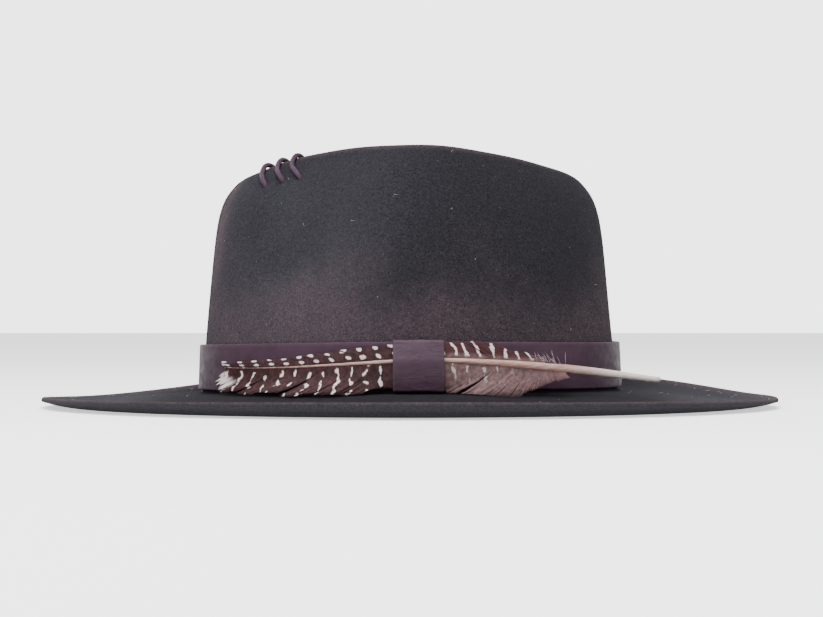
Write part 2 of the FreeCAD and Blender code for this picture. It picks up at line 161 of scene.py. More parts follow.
def felt_rings():
    """Control rings of the felt's upper face, from the brim's edge to the dent."""
    a = 2 * math.pi * np.arange(COLUMNS) / COLUMNS
    rows = []
    for t in (1.0, 0.965, 0.93, 0.89, 0.85, 0.81, 0.77, 0.73, 0.62, 0.49, 0.36, 0.24, 0.13, 0.05):
        rows.append(brim_point(a, t))
    rows.append(stack((HALF_WID + 0.5) * np.cos(a), (HALF_LEN + 0.5) * np.sin(a), break_z(a) + 0.05))
    for q in (0.0, 0.05, 0.13, 0.22, 0.34, 0.46, 0.58, 0.69, 0.79, 0.87, 0.93, 0.975):
        rows.append(wall_point(a, q))
    rows.append(crest_point(a, 0.8))
    for g in (0.10, 0.24, 0.42, 0.62, 0.80, 0.92):
        rows.append(dent_point(a, g))
    rings = np.array(rows)
    rings[..., :2] *= 3 / (2 + math.cos(2 * math.pi / COLUMNS))
    return rings


def inward(rings, depth):
    ahead = np.concatenate([rings[1:], rings[-1:]])
    behind = np.concatenate([rings[:1], rings[:-1]])
    normal = np.cross(np.roll(rings, -1, 1) - np.roll(rings, 1, 1), ahead - behind)
    normal[-2:] = (0, 0, 1)
    normal /= np.linalg.norm(normal, axis=-1, keepdims=True)
    return rings - normal * depth


def open_weights(count, at):
    """Weights of an even, clamped smooth line through `count` rings, at places from 0 to 1."""
    knots = np.concatenate([[0] * 3, np.arange(count - 2), [count - 3] * 3]).astype(float)
    t = np.clip(np.asarray(at) * (count - 3), 0, count - 3 - 1e-9)
    w = ((t[:, None] >= knots[None, :-1]) & (t[:, None] < knots[None, 1:])).astype(float)
    for d in range(1, 4):
        rise = knots[d:-1] - knots[:-d - 1]
        fall = knots[d + 1:] - knots[1:-d]
        up = np.divide(t[:, None] - knots[:-d - 1], rise, where=rise > 0,
                       out=np.zeros((len(t), len(rise))))
        down = np.divide(knots[d + 1:] - t[:, None], fall, where=fall > 0,
                         out=np.zeros((len(t), len(fall))))
        w = up * w[:, :-1] + down * w[:, 1:]
    return w


def closed_weights(count, samples):
    """The same for a line that closes on itself, evenly sampled."""
    w = np.zeros((samples, count))
    for i in range(samples):
        f, u = divmod(i * count / samples, 1.0)
        parts = ((1 - u) ** 3, 3 * u ** 3 - 6 * u ** 2 + 4, -3 * u ** 3 + 3 * u ** 2 + 3 * u + 1, u ** 3)
        for k, part in enumerate(parts):
            w[i, (int(f) - 1 + k) % count] += part / 6
    return w


def sleeve(rings, at, columns):
    along, about = open_weights(len(rings), at), closed_weights(len(rings[0]), columns)
    return np.einsum("ui,ijk,vj->uvk", along, rings, about)


def face_out(points):
    """Outward directions over a grid that runs round in its second count."""
    along = np.gradient(points, axis=0)
    round_way = np.roll(points, -1, 1) - np.roll(points, 1, 1)
    out = np.cross(round_way, along)
    return out / (np.linalg.norm(out, axis=-1, keepdims=True) + 1e-12)


# ---- meshes -------------------------------------------------------------------
def ring_faces(rows, columns, start=0, flip=False):
    faces = []
    for i in range(rows - 1):
        for j in range(columns):
            k = (j + 1) % columns
            a, b = start + i * columns, start + (i + 1) * columns
            quad = (a + j, a + k, b + k, b + j)
            faces.append(quad[::-1] if flip else quad)
    return faces


def new_mesh(name, points, faces, edges=()):
    mesh = bpy.data.meshes.new(name)
    mesh.from_pydata([tuple(p) for p in np.asarray(points).reshape(-1, 3) * MM], list(edges), faces)
    mesh.polygons.foreach_set("use_smooth", [True] * len(mesh.polygons))
    mesh.update()
    obj = bpy.data.objects.new(name, mesh)
    bpy.context.scene.collection.objects.link(obj)
    return obj


def carry(obj, name, values):
    """A number for every vertex, for the finish to read."""
    attribute = obj.data.attributes.new(name, "FLOAT", "POINT")
    attribute.data.foreach_set("value", np.asarray(values, np.float32).reshape(-1))


def settle(obj, material, body, replaces=()):
    obj.data.materials.clear()
    obj.data.materials.append(material)
    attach(obj, body)
    if replaces:
        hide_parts(*replaces)
    return obj


def bake(obj):
    """The piece as its modifiers leave it, as a plain mesh."""
    graph = bpy.context.evaluated_depsgraph_get()
    mesh = bpy.data.meshes.new_from_object(obj.evaluated_get(graph))
    obj.modifiers.clear()
    obj.data = mesh
    mesh.name = obj.name
    return obj


def thicken(obj, thick, edge):
    solid = obj.modifiers.new("thickness", "SOLIDIFY")
    solid.thickness = thick * MM
    solid.offset = 0
    solid.use_even_offset = True
    soft = obj.modifiers.new("edge", "BEVEL")
    soft.width = edge * MM
    soft.segments = 3
    soft.limit_method = "ANGLE"
    soft.angle_limit = math.radians(50)
    return bake(obj)


# ---- finishes -----------------------------------------------------------------
class Finish:
    """A material being put together: shader sockets first, then what feeds them."""

    def __init__(self, name, **sockets):
        self.material = bpy.data.materials.new(name)
        self.material.use_nodes = True
        self.tree = self.material.node_tree
        self.shader = next(n for n in self.tree.nodes if n.type == "BSDF_PRINCIPLED")
        for socket, value in sockets.items():
            self.shader.inputs[socket.replace("_", " ")].default_value = value
        self.where = self.tree.nodes.new("ShaderNodeTexCoord").outputs["Object"]

    def fix(self, socket, value):
        self.shader.inputs[socket].default_value = value

    def put(self, socket, source):
        self.tree.links.new(source, self.shader.inputs[socket])

    def node(self, kind, **inputs):
        n = self.tree.nodes.new("ShaderNode" + kind)
        for name, value in inputs.items():
            self.feed(n.inputs[name.replace("_", " ")], value)
        return n

    def feed(self, socket, value):
        if isinstance(value, bpy.types.NodeSocket):
            self.tree.links.new(value, socket)
        else:
            socket.default_value = value

    def attribute(self, name):
        n = self.node("Attribute")
        n.attribute_name = name
        return n.outputs["Fac"]

    def noise(self, scale, detail=2.0, rough=0.5, stretch=None, distort=0.0):
        where = self.where
        if stretch:
            turned = self.node("Mapping", Vector=where)
            turned.inputs["Scale"].default_value = stretch
            where = turned.outputs["Vector"]
        n = self.node("TexNoise", Vector=where, Scale=scale, Detail=detail,
                      Roughness=rough, Distortion=distort)
        return n.outputs["Fac"]

    def maths(self, what, a, b=0.0, c=0.0):
        n = self.tree.nodes.new("ShaderNodeMath")
        n.operation = what
        for socket, value in zip(n.inputs, (a, b, c)):
            self.feed(socket, value)
        return n.outputs[0]

    def times(self, a, b):
        return self.maths("MULTIPLY", a, b)

    def plus(self, a, b):
        return self.maths("ADD", a, b)

    def less(self, a, b):
        return self.maths("SUBTRACT", a, b)

    def spread(self, value, low, high, to_low=0.0, to_high=1.0):
        n = self.node("MapRange")
        n.interpolation_type = "SMOOTHSTEP"
        for socket, v in zip(n.inputs, (value, low, high, to_low, to_high)):
            self.feed(socket, v)
        return n.outputs[0]

    def blend(self, amount, a, b, kind="RGBA", places=(0, 6, 7), result=2):
        n = self.tree.nodes.new("ShaderNodeMix")
        n.data_type = kind
        for i, value in zip(places, (amount, a, b)):
            self.feed(n.inputs[i], value)
        return n.outputs[result]

    def blend_number(self, amount, a, b):
        return self.blend(amount, a, b, "FLOAT", (0, 2, 3), 0)

    def bump(self, height, distance, strength=1.0, under=None):
        n = self.node("Bump", Height=height, Distance=distance, Strength=strength)
        if under is not None:
            self.tree.links.new(under, n.inputs["Normal"])
        return n.outputs["Normal"]


def rgba(colour, share=1.0):
    return (colour[0] * share, colour[1] * share, colour[2] * share, 1.0)


def felt_finish(look):
    f = Finish("charcoal_felt", Roughness=0.96, Sheen_Weight=0.03, Sheen_Roughness=0.6, IOR=1.4)
    f.fix("Sheen Tint", (0.62, 0.6, 0.66, 1))
    f.fix("Specular IOR Level", 0.05)
    _, y, z = f.node("SeparateXYZ", Vector=f.where).outputs
    cloud = f.noise(24, 3, 0.55)
    patch = f.noise(11, 2, 0.5)
    mottle = f.noise(1000, 4, 0.75, distort=0.6)
    nap = f.noise(2600, 2, 0.6)
    on_crown = f.spread(z, 0.012, 0.020)
    ground = f.blend(f.spread(mottle, 0.32, 0.68), rgba(look.charcoal, 0.5), rgba(look.charcoal, 1.3))
    lighter = f.blend(f.spread(mottle, 0.32, 0.68), rgba(look.charcoal, 1.6), rgba(look.charcoal, 3.6))
    # painted light: the front half of the crown, where the pinched side faces the light, is made a little
    # brighter than the back
    front = f.times(f.spread(y, 0.035, -0.06), f.spread(patch, 0.3, 0.65, 0.3, 1.0))
    ground = f.blend(f.times(f.times(front, on_crown), 0.5), ground, lighter)
    # painted light: the underside is made brighter, standing in for light bounced up from the floor
    ground = f.blend(f.times(f.attribute("under"), 0.4), ground, lighter)
    # painted sheen: the brim's front and back ends on its upper face, seen at a grazing angle, are made
    # brighter
    ends = f.times(f.spread(f.maths("ABSOLUTE", y), 0.108, 0.15), f.less(1.0, on_crown))
    ends = f.times(ends, f.less(1.0, f.attribute("under")))
    ground = f.blend(f.times(ends, 0.5), ground, rgba(look.charcoal, 4.0))
    # brown wear above the band, reaching up in patches
    top_of_wear = f.spread(cloud, 0.3, 0.7, 0.044, 0.066)
    low = f.times(f.spread(f.less(z, top_of_wear), 0.022, -0.022), on_crown)
    low = f.times(low, f.spread(patch, 0.25, 0.7, 0.6, 1.0))
    rubbed = f.times(f.attribute("rubbed"), f.spread(f.noise(130, 4, 0.65), 0.3, 0.62, 0.6, 1.0))
    grain = f.spread(f.noise(900, 4, 0.75, distort=1.6), 0.40, 0.64, 0.15, 1.5)
    brushed = f.times(f.times(low, 0.62), grain)
    brushed = f.maths("MAXIMUM", brushed, f.times(rubbed, f.spread(grain, 0.1, 1.2, 0.5, 1.2)))
    fibres = f.spread(f.noise(1100, 3, 0.75, distort=2.6), 0.56, 0.66)
    colour = f.blend(f.times(brushed, look.brushing), ground, rgba(look.brushed))
    # pale curled fibres, thickest low on the crown and thin higher up
    curled = f.spread(f.less(z, top_of_wear), 0.05, -0.02, 0.06, 1.0)
    pale = f.times(f.times(fibres, f.times(curled, on_crown)), 0.6)
    colour = f.blend(pale, colour, rgba((0.125, 0.100, 0.108)))
    speck = f.spread(f.noise(1500, 1, 0.4), 0.735, 0.78)
    speck = f.times(speck, f.spread(f.noise(200, 2, 0.5), 0.45, 0.6))
    colour = f.blend(f.times(speck, 0.7), colour, rgba((0.13, 0.12, 0.115)))
    # painted shade: the brim's faces, apart from the rubbed rim, are darkened a little toward near black
    brim = f.times(f.less(1.0, on_crown), f.less(1.0, f.attribute("rubbed")))
    colour = f.blend(f.times(brim, 0.12), colour, rgba((0.003, 0.003, 0.0035)))
    f.put("Base Color", colour)
    soft = f.bump(mottle, 0.0007, 0.7)
    f.put("Normal", f.bump(nap, 0.0004, 0.8, soft))
    return f.material


def leather_finish(name, colour, rough, grain=1.0, crease=0.0, edge=None, shine=0.12):
    f = Finish(name, Roughness=rough)
    f.fix("Specular IOR Level", shine)
    f.fix("IOR", 1.34)
    cloud = f.noise(60, 3, 0.6)
    pores = f.node("TexVoronoi", Vector=f.where, Scale=1400.0).outputs["Distance"]
    fine = f.noise(2600, 2, 0.6)
    shade = f.blend(f.spread(cloud, 0.3, 0.7), rgba(colour, 0.84), rgba(colour, 1.16))
    shade = f.blend(f.spread(fine, 0.35, 0.7, 0.0, 0.35), shade, rgba(colour, 1.5))
    if edge:
        rim = f.times(f.attribute("edge"), f.spread(f.noise(500, 2), 0.3, 0.6, 0.5, 1.0))
        shade = f.blend(rim, shade, rgba(edge))
    f.put("Base Color", shade)
    f.put("Roughness", f.spread(f.noise(300, 3), 0.3, 0.7, rough - 0.06, rough + 0.1))
    normal = f.bump(pores, 0.00012, 0.35 * grain)
    normal = f.bump(fine, 0.00008, 0.5 * grain, normal)
    if crease:
        folds = f.noise(120, 3, 0.55, (1.0, 0.45, 1.5), 1.2)
        normal = f.bump(f.spread(folds, 0.42, 0.5), 0.0005, crease, normal)
    f.put("Normal", normal)
    return f.material


def shaft_finish(look):
    f = Finish("feather_horn", Roughness=0.42)
    f.fix("Subsurface Weight", 0.15)
    f.fix("Subsurface Scale", 0.002)
    along = f.attribute("along")
    root = f.blend(f.spread(along, 74.0, 104.0), rgba(look.shaft), rgba(look.quill_end))
    dark = f.blend(f.spread(along, -86.0, -40.0), rgba(look.shaft, 0.55), root)
    streak = f.noise(900, 2, 0.6, (1, 0.06, 1))
    f.put("Base Color", f.blend(f.spread(streak, 0.35, 0.7, 0.0, 0.4), dark, rgba(look.quill_end, 0.8)))
    f.put("Normal", f.bump(streak, 0.0002, 0.4))
    return f.material


def spot_finish(look):
    """Barbs: brown with rows of white spots ahead of the loop, paler and barred behind it."""
    f = Finish("spotted_barbs", Roughness=0.55)
    f.fix("Specular IOR Level", 0.22)
    along, down, side, share = (f.attribute(n) for n in ("along", "down", "side", "share"))
    wobble = f.noise(150, 2, 0.5)
    ripple = f.noise(520, 2, 0.5)
    upper = f.maths("GREATER_THAN", side, 0.5)
    behind = f.spread(along, 8.0, 20.0)
    brown = f.blend(f.spread(ripple, 0.3, 0.7), rgba(look.ground, 0.6), rgba(look.ground, 1.6))
    pale = f.blend(f.spread(ripple, 0.3, 0.7), rgba(look.ground_behind, 0.7),
                   rgba(look.ground_behind, 1.35))
    rear_dark = f.times(upper, f.spread(down, 2.2, 4.6))
    rear_dark = f.times(rear_dark, f.spread(along, 66.0, 52.0))
    pale = f.blend(rear_dark, pale, rgba(look.ground, 1.7))
    ground = f.blend(behind, brown, pale)

    def mark(u, v, wide, long):
        """Soft-edged spots on a grid; u and v count the grid's columns and rows."""
        a = f.maths("DIVIDE", f.less(f.maths("FRACT", u), 0.5), wide)
        b = f.maths("DIVIDE", f.less(f.maths("FRACT", v), 0.5), long)
        a2, b2 = (f.maths("POWER", f.maths("ABSOLUTE", part), 2.0) for part in (a, b))
        return f.spread(f.plus(a2, b2), 1.25, 0.7)

    stray = f.times(wobble, 0.9)
    column = f.plus(f.maths("DIVIDE", along, 6.7), stray)
    row = f.plus(f.maths("DIVIDE", down, 4.7), f.times(f.noise(90, 1), 1.3))
    wide = f.spread(ripple, 0.3, 0.7, 0.055, 0.12)
    low = mark(column, row, wide, f.spread(f.noise(110, 1), 0.35, 0.65, 0.22, 0.52))
    low = f.times(low, f.spread(down, 0.9, 1.8))
    up_column = f.maths("DIVIDE", f.plus(along, f.times(down, 0.5)), 7.3)
    up_column = f.plus(up_column, f.times(wobble, 0.5))
    up_row = f.plus(f.maths("DIVIDE", share, 0.5), f.times(f.less(wobble, 0.5), 0.7))
    up = mark(up_column, f.less(up_row, 0.36), 0.17, f.spread(share, 0.5, 0.9, 0.30, 0.22))
    spots = f.blend_number(upper, low, up)
    # behind the loop: bars down from the upper edge, faint streaks below the shaft
    bar_column = f.maths("DIVIDE", f.plus(along, f.times(down, 0.4)), 5.8)
    bar_column = f.plus(bar_column, f.times(f.noise(95, 2), 1.5))
    bars = mark(bar_column, 0.5, f.spread(ripple, 0.3, 0.7, 0.06, 0.17), 1.0)
    bars = f.times(bars, f.spread(down, 2.0, 3.2))
    bars = f.times(bars, f.spread(along, 64.0, 56.0))
    faint = f.times(low, f.spread(down, 11.0, 5.0, 0.0, 0.5))
    faint = f.times(faint, f.spread(along, 52.0, 38.0))
    marks = f.blend_number(behind, spots, f.blend_number(upper, faint, bars))
    marks = f.maths("MAXIMUM", marks, f.attribute("frayed"))
    f.put("Base Color", f.blend(marks, ground, rgba(look.spots)))
    return f.material


def cloth_finish(name, colour, rough):
    f = Finish(name, Roughness=rough)
    f.fix("Sheen Weight", 0.2)
    thread = f.noise(1800, 2, 0.6)
    f.put("Base Color", f.blend(f.spread(thread, 0.3, 0.7), rgba(colour, 0.7), rgba(colour, 1.3)))
    f.put("Normal", f.bump(thread, 0.0002, 0.5))
    return f.material


def plain_stage(name, colour, glow):
    f = Finish(name, Roughness=0.9)
    f.fix("Emission Color", (1, 1, 1, 1))
    f.fix("Emission Strength", glow)
    f.fix("Base Color", rgba(colour))
    return f.material


# ---- the felt -----------------------------------------------------------------
def lace_holes():
    """The six places where the lace goes through the felt, on its upper face."""
    half = HALF_LEN * CREST_FRONT
    found = []
    for ahead in LACE_AHEAD:
        a = -math.asin(ahead / half)
        far = (ahead - LACE_SLANT + DENT_BEHIND * HALF_LEN * LACE_IN) / (1 - LACE_IN)
        b = -math.asin(min(0.97, far / half))
        found.append(wall_point(np.array(a + LACE_TURN), LACE_DROP))
        found.append(dent_point(np.array(b), LACE_IN))
    return found


def build_felt(sizes, look):
    rings = felt_rings()
    under_rings = inward(rings, FELT)
    columns = 300
    at = np.linspace(0, 1, 186)
    top = sleeve(rings, at, columns)
    out = face_out(top)
    # hand-shaped felt is never quite even
    a = 2 * math.pi * np.arange(columns) / columns
    row = at[:, None]
    uneven = (np.sin(3 * a + 9 * row) * np.sin(11 * row + 1) + 0.6 * np.sin(7 * a - 17 * row + 2)
              + 0.35 * np.sin(13 * a + 29 * row)) * sizes.unevenness
    held = 1 - 0.9 * ease((0.60 - abs(row - 0.44)) / 0.08 - 6.2)
    crown = ease((row - 0.52) / 0.06)
    top = top + out * (uneven * (0.35 + 0.65 * crown) * held)[..., None]
    for hole in lace_holes():
        flat = np.linalg.norm(top - hole, axis=-1)
        top = top - out * (0.8 * np.exp(-(flat / 2.6) ** 2))[..., None]
    under = sleeve(under_rings, np.linspace(0, 1, 90), columns)
    bulge = top[0] - top[1]
    bulge /= np.linalg.norm(bulge, axis=-1, keepdims=True)
    lip = [mix(top[0], under[0], s) + bulge * 0.5 * math.sin(math.pi * s) ** 0.6
           for s in (0.08, 0.25, 0.5, 0.75, 0.92)]
    top[0] = top[0] - out[0] * 0.15
    points = np.concatenate([top[::-1], np.array(lip), under])
    faces = ring_faces(len(points), columns, flip=True)
    count = len(points) * columns
    centre_top = points[0].mean(0)
    centre_under = points[-1].mean(0)
    last = (len(points) - 1) * columns
    for j in range(columns):
        k = (j + 1) % columns
        faces.append((j, k, count))
        faces.append((last + k, last + j, count + 1))
    flat = np.concatenate([points.reshape(-1, 3), [centre_top, centre_under]])
    felt = new_mesh("felt_crown_and_brim", flat, faces)
    # where hands and brushing have worn the nap: the rim, the crest, the front
    near_top = abs(np.arange(len(at))[:, None] - np.argmax(top[..., 2], axis=0)) < 9
    crest = np.exp(-((top[..., 2].max(0) - top[..., 2]) / 1.6) ** 2) * near_top * 0.8
    ridge = np.exp(-((np.degrees(a) - 285) / 6) ** 2)
    front = ease((top[..., 2] - 42) / 25) * (1 - ease((top[..., 2] - 108) / 8))
    front = front * ridge * (top[..., 1] < -60)
    rim = np.exp(-(np.linalg.norm(top - top[0], axis=-1) / 5.0) ** 2)
    rubbed = np.clip(crest + 0.9 * front + rim, 0, 1)
    under_rub = np.exp(-(np.linalg.norm(under - under[0], axis=-1) / 2.0) ** 2) * 0.1
    lip_rub = np.repeat([1.0, 0.85, 0.5, 0.25, 0.1], columns)
    lip_under = np.repeat([0, 0.2, 0.5, 0.8, 1], columns)
    above, below = np.zeros(top[..., 0].size), np.ones(under[..., 0].size)
    carry(felt, "rubbed", np.concatenate(
        [rubbed[::-1].reshape(-1), lip_rub, under_rub.reshape(-1), [0, 0]]))
    # marks the underside; the finish paints floor-bounce light there and keeps the ends' sheen off it
    carry(felt, "under", np.concatenate([above, lip_under, below, [0, 1]]))
    build_lint(top, out, look)
    return settle(felt, felt_finish(look), "hat", ["felt_body"])


def build_lint(top, out, look):
    """A few pale stray fibres caught in the nap."""
    pick = random.Random(21)
    rows, columns = top.shape[:2]
    points, edges, notes = [], [], []
    for i in range(190):
        row = pick.randint(0, 9) if i < 80 else pick.randint(10, rows - 30)
        column = pick.randrange(columns)
        lift = Vector(out[row, column])
        p = Vector(top[row, column]) + lift * 0.15
        way = lift.orthogonal().normalized()
        way.rotate(Quaternion(lift, pick.uniform(0, 6.28)))
        step = pick.uniform(0.10, 0.42)
        for k in range(7):
            points.append(tuple(p))
            notes.append((0, 0, 0, 0, 0))
            if k:
                edges.append((len(points) - 2, len(points) - 1))
            way = way + lift * pick.uniform(-0.12, 0.22) + lift.cross(way) * pick.uniform(-0.6, 0.6)
            way = way.normalized()
            p = p + way * step
    tree, names = barb_tree()
    finish = cloth_finish("pale_lint", look.thread, 0.9)
    lint = grow("stray_fibres", points, edges, np.array(notes, float), finish, 0.06, 3, 4, tree, names)
    settle(lint, finish, "hat")


# ---- the band -----------------------------------------------------------------
def strap_middle(a, f):
    """Point on the middle of the strap's thickness; f = 0 at its lower edge, 1 at the upper."""
    half = STRAP_THICK / 2
    x = (STRAP_WID + half - STRAP_TAPER * f) * np.cos(a)
    y = (STRAP_LEN + half - STRAP_TAPER * f) * np.sin(a)
    return stack(x, y, break_z(a) + STRAP_LIFT + STRAP_HIGH * f)


def build_strap(look):
    columns, rows = 256, 13
    a = 2 * math.pi * np.arange(columns) / columns
    f = np.linspace(0, 1, rows)[:, None]
    points = strap_middle(a, f)
    wave = 0.12 * np.sin(5 * a + 3 * f) + 0.08 * np.sin(11 * a + 1)
    points[..., 2] += 0.10 * np.sin(4 * a + 0.7)
    points[..., 0] += wave * np.cos(a) * 0.6
    points[..., 1] += wave * np.sin(a) * 0.6
    strap = new_mesh("leather_band", points, ring_faces(rows, columns))
    near_edge = np.exp(-(np.minimum(f, 1 - f) / 0.03) ** 2) * np.ones(columns)
    carry(strap, "edge", near_edge)
    thicken(strap, STRAP_THICK - 0.1, 0.35)
    finish = leather_finish("plum_leather", look.leather, look.gloss, edge=[c * 1.5 for c in look.leather])
    return settle(strap, finish, "hatband", ["hatband_strap"])


def build_keeper(look):
    back = STRAP_WID - KEEPER_PLAY - KEEPER_THICK / 2
    face = STRAP_X + KEEPER_ROOM - KEEPER_DOME + KEEPER_THICK / 2
    low = BREAK_SIDE + STRAP_LIFT - KEEPER_PLAY - KEEPER_THICK / 2
    high = low + STRAP_HIGH + 2 * KEEPER_PLAY + KEEPER_THICK
    r = 1.0
    outline = []
    steps = 6

    def corner(x, z, start):
        for k in range(steps + 1):
            t = math.radians(start + 90 * k / steps)
            outline.append((x + r * math.cos(t), z + r * math.sin(t)))

    lean = STRAP_TAPER
    corner(face - r, low + r, -90)
    for k in range(1, 18):
        t = k / 18
        x = mix(face, face - lean, t) + 1.7 * KEEPER_DOME * 4 * t * (1 - t)
        bulge = 0.35 * math.exp(-((mix(low, high, t) - 24.3) / 2.2) ** 2)
        outline.append((x + bulge, mix(low + r, high - r, t)))
    corner(face - lean - r, high - r, 0)
    for k in range(1, 4):
        outline.append((mix(face - lean - r, back - lean + r, k / 4), high))
    corner(back - lean + r, high - r, 90)
    for k in range(1, 8):
        outline.append((mix(back - lean, back, k / 8), mix(high - r, low + r, k / 8)))
    corner(back + r, low + r, 180)
    for k in range(1, 4):
        outline.append((mix(back + r, face - r, k / 4), low))
    outline = np.array(outline)
    wide = 17
    points = []
    for i in range(wide):
        s = i / (wide - 1) - 0.5
        turn = KEEPER_AT / BEND_R + s * KEEPER_WIDE / BEND_R
        swell = 1 - 0.25 * (2 * s) ** 4
        radius = outline[:, 0] - BEND_X + 0.25 * (swell - 1)
        z = outline[:, 1] + 0.12 * math.sin(9 * s + 1) * (outline[:, 0] > STRAP_X)
        points.append(stack(BEND_X + radius * math.cos(turn), radius * math.sin(turn), z))
    points = np.array(points)
    keeper = new_mesh("leather_loop", points, ring_faces(wide, len(outline), flip=True))
    side = np.abs(np.linspace(-1, 1, wide))[:, None] * np.ones(len(outline))
    carry(keeper, "edge", np.exp(-((1 - side) / 0.05) ** 2))
    thicken(keeper, KEEPER_THICK - 0.05, 0.3)
    finish = leather_finish("loop_leather", [c * 1.05 for c in look.leather], look.gloss - 0.08, 1.2, 0.22,
                            [c * 1.4 for c in look.leather], 0.3)
    return settle(keeper, finish, "hatband", ["hatband_keeper"])


# ---- the feather --------------------------------------------------------------
def feather_xy(y, r=0.0):
    radius = SHAFT_X - BEND_X
    held = np.minimum(y, FREE_AT)
    free = np.maximum(y - FREE_AT, 0)
    x = BEND_X + np.sqrt(radius ** 2 - held ** 2)
    slope = held / (x - BEND_X)
    x = x - slope * free - free ** 2 / (2 * FREE_R)
    slope = slope + free / FREE_R
    size = np.sqrt(1 + slope ** 2)
    return x + r / size, y + r * slope / size


def shaft_z(y):
    mid = BREAK_SIDE + STRAP_LIFT + SHAFT_MID_Z
    ahead = mid - 4.2 * ease((12 - y) / (TIP_AHEAD + 6)) ** 0.9
    behind = mid - 9.9 * (np.maximum(y - 12, 0) / (QUILL_BEHIND - 12)) ** 1.5
    return np.where(y < 12, ahead, behind)


def shaft_r(y):
    thick = 0.66 * QUILL_BEHIND
    ahead = mix(SHAFT_R_KEEPER, SHAFT_R_TIP, ease(-y / TIP_AHEAD))
    mid = mix(SHAFT_R_KEEPER, SHAFT_R_QUILL, ease(y / thick))
    end = mix(SHAFT_R_QUILL, SHAFT_R_END, (y - thick) / (QUILL_BEHIND - thick))
    return np.where(y < 0, ahead, np.where(y < thick, mid, end))


def loose(y):
    return ease((abs(y - KEEPER_AT) - KEEPER_WIDE / 2) / 30.0)


def leading_wide(y):
    t = (y + TIP_AHEAD) / (VANE_REAR + TIP_AHEAD)
    return LEADING_WIDE * mix(0.35, 1.0, ease(t / 0.62)) * mix(0.2, 1.0, ease((1.0 - t) / 0.2))


def trailing_wide(y):
    t = (y + TIP_AHEAD) / (VANE_REAR + TIP_AHEAD)
    full = mix(0.74, 1.0, ease(t / 0.6)) * mix(0.25, 1.0, ease((1.0 - t) / 0.16))
    return mix(VANE_HELD, TRAILING_WIDE * full, ease(4 * loose(y)))


def brim_top(x, y):
    """Height of the brim's upper face near the crown."""
    a = np.arctan2(y / HALF_LEN, x / HALF_WID)
    reach = np.hypot(x / HALF_WID, y / HALF_LEN) - 1.0
    t = np.clip(reach * HALF_WID / (HALF_BRIM_WID - EDGE_SET - HALF_WID), 0, 1)
    return mix(break_z(a), FELT, ease(t / BRIM_FLAT))


def build_shaft(look):
    rows, columns = 90, 14
    y = np.linspace(-TIP_AHEAD, QUILL_BEHIND, rows)
    r = shaft_r(y)
    points, along = [], []
    for i in range(rows):
        step = 0.2
        x0, y0 = feather_xy(y[i])
        x1, y1 = feather_xy(y[i] + step)
        way = Vector((x1 - x0, y1 - y0, float(shaft_z(y[i] + step) - shaft_z(y[i])))).normalized()
        out = Vector((way.y, -way.x, 0)).normalized()
        up = out.cross(way) * -1
        for j in range(columns):
            t = 2 * math.pi * j / columns
            c, s = math.cos(t), math.sin(t)
            groove = 0.18 * math.exp(-((t - math.pi) / 0.5) ** 2)
            flat = 0.86 if y[i] < 60 else mix(0.86, 1.0, min(1, (y[i] - 60) / 20))
            middle = Vector((x0, y0, float(shaft_z(y[i]))))
            points.append(middle + out * (c * r[i] * (1 - groove)) * flat + up * (s * r[i]))
            along.append(y[i])
    faces = ring_faces(rows, columns)
    for end, start in ((0, 0), (1, (rows - 1) * columns)):
        ring = [start + j for j in range(columns)]
        faces.append(tuple(ring[::-1] if end == 0 else ring))
    shaft = new_mesh("feather_shaft_horn", [tuple(p) for p in points], faces)
    outward(shaft)
    carry(shaft, "along", along)
    return settle(shaft, shaft_finish(look), "feather", ["feather_shaft"])


def outward(obj):
    work = bmesh.new()
    work.from_mesh(obj.data)
    bmesh.ops.recalc_face_normals(work, faces=work.faces)
    work.to_mesh(obj.data)
    work.free()


def barb_point(side, root, span, high, shift, lift, parted, t):
    """Point of a barb, from the shaft at t = 0 to its end at 1."""
    y = root - span * t ** 1.3 + shift * t ** 2
    f = t ** 0.88
    up = side * high * f
    spread = float(loose(y)) * mix(0.35, 1.0, float(ease((y + TIP_AHEAD) / 40)))
    splay = VANE_SPLAY * spread if side < 0 else 0.4
    out = splay * f ** 3 - STRAP_TAPER * up / STRAP_HIGH + lift * t + 0.35 * math.sin(math.pi * t) * parted
    px, py = feather_xy(y, out)
    z = float(shaft_z(y)) + up
    if side < 0:
        z = max(z, float(brim_top(px, py)) + BARB_CLEAR)
    return float(px), float(py), z


